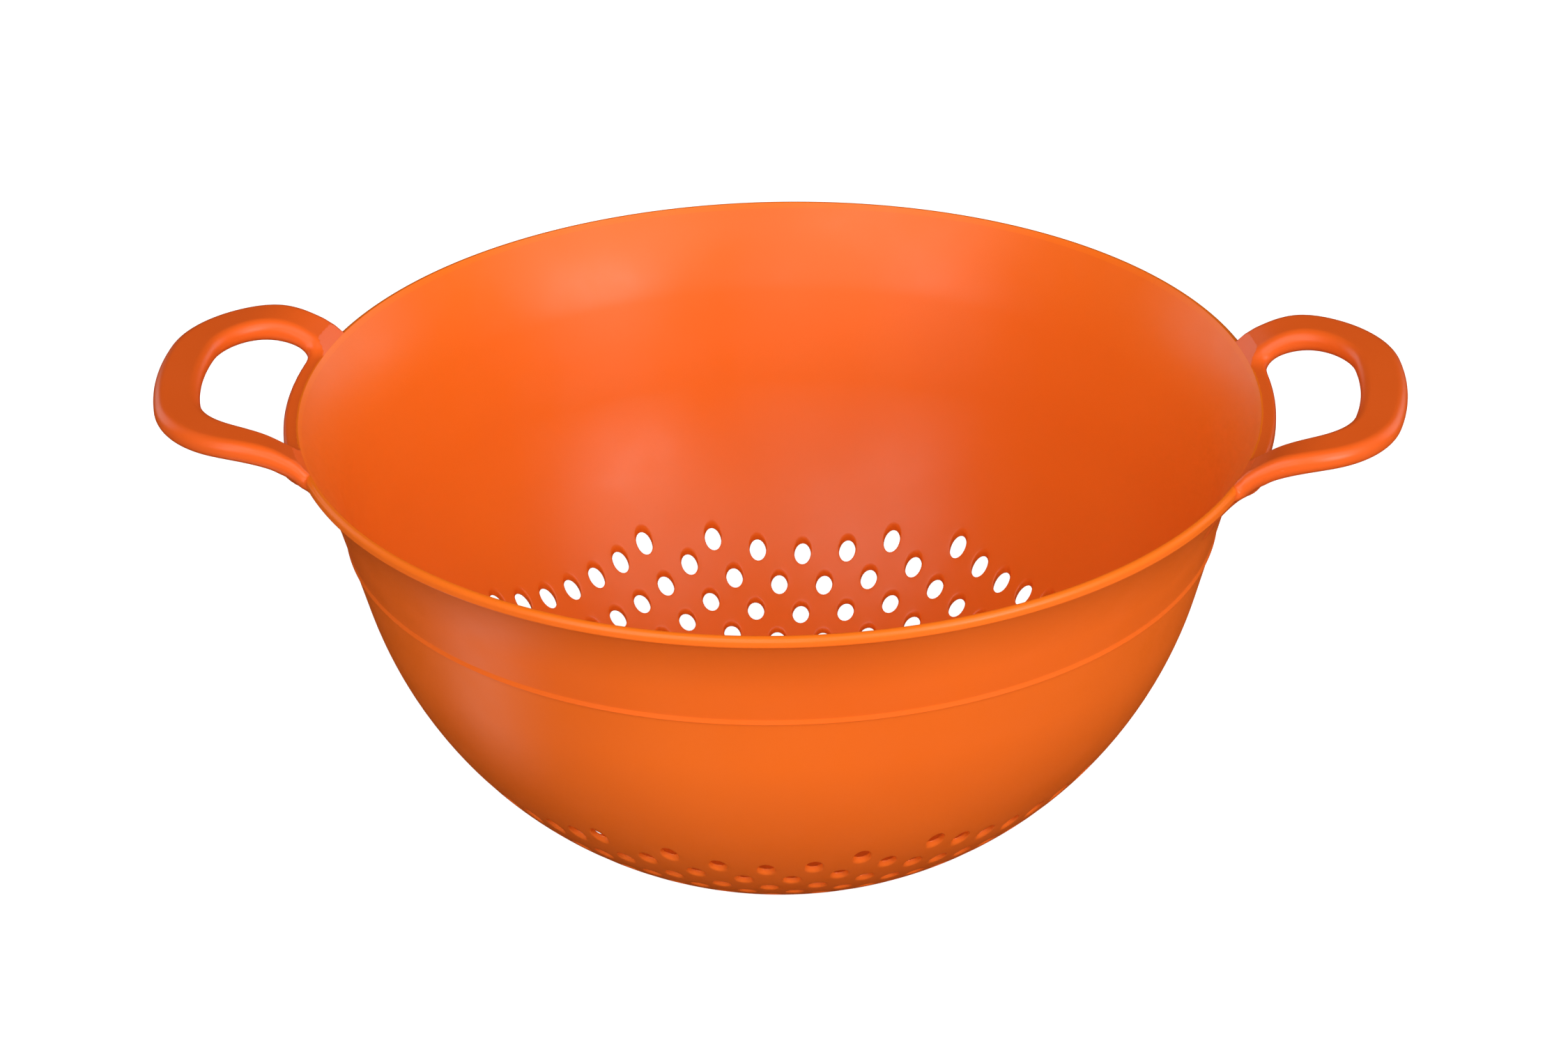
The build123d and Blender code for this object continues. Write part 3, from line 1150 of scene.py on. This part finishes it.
@dataclass
class Studio:
    """White floor with a painted reflection patch, surroundings, soft lamps and the camera."""

    form: ColanderForm
    distance: float = 1.8868
    elevation: float = radians(26.67)
    azimuth: float = radians(3.73)
    aim_drop: float = radians(0.821)
    aim_turn: float = radians(0.017)
    roll: float = radians(1.067)
    lens: float = 184.4
    sensor: float = 36.0
    camera_far: float = 50.0
    floor_half: float = 6.0
    floor_colour: Colour = (0.40, 0.40, 0.40)
    floor_white: float = 0.92
    # Painted reflection: a soft glowing patch on the floor at the left, seen only by glossy rays, though it
    # is no lamp.
    painted_reflection_place: Point2 = (-0.150, -0.066)
    painted_reflection_reach: Point2 = (0.075, 0.048)
    painted_reflection_glow: float = 1.1
    world_level: float = 0.075
    world_shine: float = 0.01

    def camera(self) -> None:
        """Set the camera where the photograph was taken from."""
        side = Vector((cos(self.azimuth), sin(self.azimuth), 0))
        flat = Vector((-sin(self.azimuth), cos(self.azimuth), 0))
        gaze = flat * cos(self.elevation) - Vector((0, 0, 1)) * sin(self.elevation)
        centre = Vector((0, 0, self.form.rim_height))
        above = side.cross(gaze)
        basis = Matrix((side, above, -gaze)).transposed()
        tilt = Matrix.Rotation(-self.aim_drop, 3, "X") @ Matrix.Rotation(-self.aim_turn, 3, "Y")
        roll = Matrix.Rotation(-self.roll, 3, "Z")
        camera = bpy.data.cameras.new("camera")
        camera.lens = self.lens
        camera.sensor_width = self.sensor
        camera.clip_end = self.camera_far
        holder = bpy.data.objects.new("camera", camera)
        bpy.context.scene.collection.objects.link(holder)
        place = Matrix.Translation(centre - gaze * self.distance)
        holder.matrix_world = place @ (basis @ tilt @ roll).to_4x4()
        bpy.context.scene.camera = holder

    def floor(self) -> None:
        """Lay a floor that the camera sees white, shadow included, and gloss sees as a painted reflection:
        one soft glowing patch beside the bowl.
        """
        half = self.floor_half
        corners = [(-half, -half, 0), (half, -half, 0), (half, half, 0), (-half, half, 0)]
        mesh = bpy.data.meshes.new("floor")
        mesh.from_pydata(corners, [], [(0, 1, 2, 3)])
        floor = link("floor", mesh)
        material = bpy.data.materials.new("floor_white")
        material.use_nodes = True
        tree = material.node_tree
        tree.nodes.clear()
        path = tree.nodes.new("ShaderNodeLightPath")
        place = tree.nodes.new("ShaderNodeTexCoord")
        shares = tree.nodes.new("ShaderNodeVectorMath")
        shares.operation = "DIVIDE"
        shares.inputs[1].default_value = (*self.painted_reflection_reach, 1)
        tree.links.new(place.outputs["Object"], shares.inputs[0])
        apart = tree.nodes.new("ShaderNodeVectorMath")
        apart.operation = "DISTANCE"
        centre = (where / reach for where, reach in zip(self.painted_reflection_place, self.painted_reflection_reach))
        apart.inputs[1].default_value = (*centre, 0)
        tree.links.new(shares.outputs["Vector"], apart.inputs[0])
        shine = tree.nodes.new("ShaderNodeMapRange")
        shine.interpolation_type = "SMOOTHSTEP"
        for name, value in zip(("From Min", "From Max", "To Min", "To Max"), (0, 1, self.painted_reflection_glow, 0)):
            shine.inputs[name].default_value = value
        tree.links.new(apart.outputs["Value"], shine.inputs["Value"])
        # Painted reflection: glossy rays see this glowing patch in place of the floor.
        painted_reflection = tree.nodes.new("ShaderNodeEmission")
        tree.links.new(shine.outputs["Result"], painted_reflection.inputs["Strength"])
        level = tree.nodes.new("ShaderNodeMath")
        level.operation = "MULTIPLY"
        level.inputs[1].default_value = self.floor_white
        tree.links.new(path.outputs["Is Camera Ray"], level.inputs[0])
        matt = tree.nodes.new("ShaderNodeBsdfDiffuse")
        matt.inputs["Color"].default_value = (*self.floor_colour, 1)
        glow = tree.nodes.new("ShaderNodeEmission")
        tree.links.new(level.outputs[0], glow.inputs["Strength"])
        both = tree.nodes.new("ShaderNodeAddShader")
        tree.links.new(matt.outputs[0], both.inputs[0])
        tree.links.new(glow.outputs[0], both.inputs[1])
        mix = tree.nodes.new("ShaderNodeMixShader")
        tree.links.new(path.outputs["Is Glossy Ray"], mix.inputs["Fac"])
        tree.links.new(both.outputs[0], mix.inputs[1])
        tree.links.new(painted_reflection.outputs[0], mix.inputs[2])
        out = tree.nodes.new("ShaderNodeOutputMaterial")
        tree.links.new(mix.outputs[0], out.inputs["Surface"])
        material.cycles.emission_sampling = "NONE"
        mesh.materials.append(material)

    def world(self) -> None:
        """Surround the scene with white: one strength for light, one for gloss and one for the camera."""
        world = bpy.data.worlds.new("surroundings")
        world.use_nodes = True
        tree = world.node_tree
        tree.nodes.clear()
        path = tree.nodes.new("ShaderNodeLightPath")
        seen = None
        gloss, view = ("Is Glossy Ray", self.world_shine), ("Is Camera Ray", 1.0)
        for ray, strength in ((None, self.world_level), gloss, view):
            layer = tree.nodes.new("ShaderNodeBackground")
            layer.inputs["Color"].default_value = (1, 1, 1, 1)
            layer.inputs["Strength"].default_value = strength
            if ray is None:
                seen = layer.outputs[0]
                continue
            mix = tree.nodes.new("ShaderNodeMixShader")
            tree.links.new(path.outputs[ray], mix.inputs["Fac"])
            tree.links.new(seen, mix.inputs[1])
            tree.links.new(layer.outputs[0], mix.inputs[2])
            seen = mix.outputs[0]
        out = tree.nodes.new("ShaderNodeOutputWorld")
        tree.links.new(seen, out.inputs["Surface"])
        bpy.context.scene.world = world

    def build(self) -> None:
        """Set up the studio."""
        bpy.context.scene.view_settings.view_transform = "Standard"
        self.world()
        self.floor()
        middle = Vector((0, 0, self.form.rim_height / 2))
        for box in (
            SoftBox("left_low", radians(-35), radians(12), 15.0),
            SoftBox("left_high", radians(-32), radians(44), 21.0, 1.8),
            SoftBox("front_low", 0.0, radians(12), 11.0),
            SoftBox("front_high", 0.0, radians(42), 6.5),
            SoftBox("right_low", radians(50), radians(12), 24.5),
            SoftBox("right_high", radians(52), radians(38), 28.5, 2.2),
            SoftBox("back_left", radians(-128), radians(14), 11.0, 1.8),
            SoftBox("back_right", radians(128), radians(14), 11.0, 1.8),
        ):
            box.build(middle)
        self.camera()


def main() -> None:
    """Load the frame, build and dress each piece, and set up the studio."""
    logging.basicConfig(level=logging.INFO, format="%(name)s %(message)s")
    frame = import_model()
    form = ColanderForm.from_frame()
    plain = SatinPlastic("orange_moulding", (0.89, 0.150, 0.0100), (0.84, 0.134, 0.0084))
    # The collar's orange carries a painted highlight: lighter and yellower over the top 3 mm, standing in
    # for light on the lip.
    collar_plastic_painted_light = SatinPlastic(
        "orange_collar_painted_light",
        # Painted shade: a little less yellow than the bowl's orange, so the band under the lip reads darker.
        (0.89, 0.142, 0.0100),
        (0.84, 0.127, 0.0084),
        lip_highlight_colour=(0.91, 0.168, 0.0075),
        lip_highlight_top=form.rim_height,
        lip_highlight_depth=0.0030,
    )
    # Painted shade: the handles take a darker, redder copy of the bowl's orange, standing in for the shade
    # on their tops.
    shaded_grip = SatinPlastic("orange_grip_shaded", (0.84, 0.118, 0.0110), (0.79, 0.106, 0.0092))
    collar = RimCollar(form, collar_plastic_painted_light)
    PiercedBowl(form, plain).build()
    collar.build()
    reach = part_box("right_handle")[1].x
    loop = LoopHandle(form, collar.wall_field(reach), shaded_grip, reach=reach - LoopHandle.bar_half)
    for side in Side:
        loop.build(side)
    FootRing(plain).build(frame["nodes"])
    Studio(form).build()


if __name__ == "__main__":
    main()
